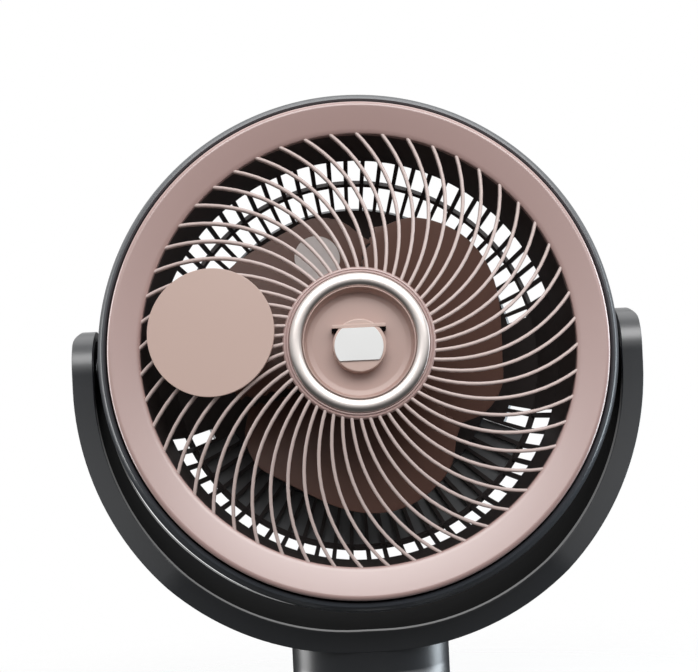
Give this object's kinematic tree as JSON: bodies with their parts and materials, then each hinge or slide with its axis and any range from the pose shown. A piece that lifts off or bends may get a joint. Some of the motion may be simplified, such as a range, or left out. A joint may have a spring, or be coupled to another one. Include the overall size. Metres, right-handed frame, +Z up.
{
  "type": "air circulator fan",
  "caption": "Tabletop air circulator with a round spiral-grille fan head that tilts in a U-shaped yoke and swings on a short column over a weighted base.",
  "frame": {"origin": "on the floor, under the middle of the base", "axes": "+Z up, the fan blows towards -Y, +X to the right as seen from the front"},
  "size_m": [0.384, 0.2597, 0.5514],
  "materials": {
    "rose": "satin rose-gold paint",
    "rose_flat": "flat satin rose-gold paint",
    "chrome": "bright plated trim",
    "pearl": "bare white plate",
    "graphite": "satin metallic graphite paint",
    "slate": "satin metallic slate paint",
    "black": "fine matt texture",
    "brown": "smoky brown",
    "gloss_black": "polished black",
    "steel": "zinc plated",
    "copper": "laminations with copper windings",
    "magnet": "sintered ferrite",
    "board": "green solder mask",
    "nylon": "natural nylon",
    "rubber": "matt"
  },
  "bodies": {
    "base": {"swing_motor": "steel", "swing_washer": "nylon", "bearing_plate": "steel", "column_housing": "graphite", "ir_window": "gloss_black", "base_cover": "graphite", "base_plate": "black", "ballast_plate": "steel", "control_board": "board", "display_window": "gloss_black", "power_inlet": "black", "rubber_foot_1": "rubber", "rubber_foot_2": "rubber", "rubber_foot_3": "rubber", "rubber_foot_4": "rubber"},
    "yoke": {"yoke_frame": "graphite", "yoke_liner": "black", "pivot_pin": "steel", "tilt_shaft": "steel", "pivot_cap_left": "graphite", "pivot_cap_right": "graphite", "swing_spindle": "steel", "swing_gear": "nylon", "retaining_ring": "steel"},
    "head": {"front_grille": "rose", "hub_chrome_ring": "chrome", "hub_dish": "rose_flat", "hub_boss": "rose_flat", "hub_plate": "pearl", "grille_badge": "rose_flat", "air_duct": "black", "rear_housing": "slate", "motor_cover": "slate", "driver_box": "slate", "driver_board": "board", "side_cover_left": "graphite", "side_cover_right": "graphite", "pivot_bush": "nylon", "tilt_motor": "steel", "motor_base": "steel", "bearing_front": "steel", "bearing_rear": "steel", "stator": "copper", "grille_lock_screw": "steel", "cover_screw_1": "steel", "cover_screw_2": "steel", "cover_screw_3": "steel"},
    "fan": {"motor_shaft": "steel", "rotor_can": "steel", "magnet_ring": "magnet", "fan_rotor": "brown", "rotor_nut": "brown", "blade_sticker": "pearl"},
    "pinion": {"swing_pinion": "nylon"},
    "button_tilt": {"button_tilt": "gloss_black"},
    "button_timer": {"button_timer": "gloss_black"},
    "button_power": {"button_power": "gloss_black"},
    "button_speed": {"button_speed": "gloss_black"},
    "button_swing": {"button_swing": "gloss_black"}
  },
  "joints": [
    {"name": "yoke_swing", "type": "hinge", "parent": "base", "child": "yoke", "pos_m": [0, 0, 0.14], "axis": [0, 0, 1], "range_deg": [-45, 45]},
    {"name": "head_tilt", "type": "hinge", "parent": "yoke", "child": "head", "pos_m": [0, 0, 0.375], "axis": [-1, 0, 0], "range_deg": [-18, 82]},
    {"name": "fan_spin", "type": "hinge", "parent": "head", "child": "fan", "pos_m": [0, 0, 0.375], "axis": [0, -0.9903, 0.1392], "continuous": true},
    {"name": "pinion_spin", "type": "hinge", "parent": "base", "child": "pinion", "pos_m": [0, 0.0255, 0.131], "axis": [0, 0, 1], "range_deg": [-115, 115]},
    {"name": "button_tilt_press", "type": "slide", "parent": "base", "child": "button_tilt", "axis": [0, 0, -1], "range_m": [0, 0.0008], "stiffness_N_per_m": 600},
    {"name": "button_timer_press", "type": "slide", "parent": "base", "child": "button_timer", "axis": [0, 0, -1], "range_m": [0, 0.0008], "stiffness_N_per_m": 600},
    {"name": "button_power_press", "type": "slide", "parent": "base", "child": "button_power", "axis": [0, 0, -1], "range_m": [0, 0.0008], "stiffness_N_per_m": 600},
    {"name": "button_speed_press", "type": "slide", "parent": "base", "child": "button_speed", "axis": [0, 0, -1], "range_m": [0, 0.0008], "stiffness_N_per_m": 600},
    {"name": "button_swing_press", "type": "slide", "parent": "base", "child": "button_swing", "axis": [0, 0, -1], "range_m": [0, 0.0008], "stiffness_N_per_m": 600}
  ],
  "couplings": [
    {"joint": "pinion_spin", "follows": "yoke_swing", "ratio": -2.4}
  ]
}
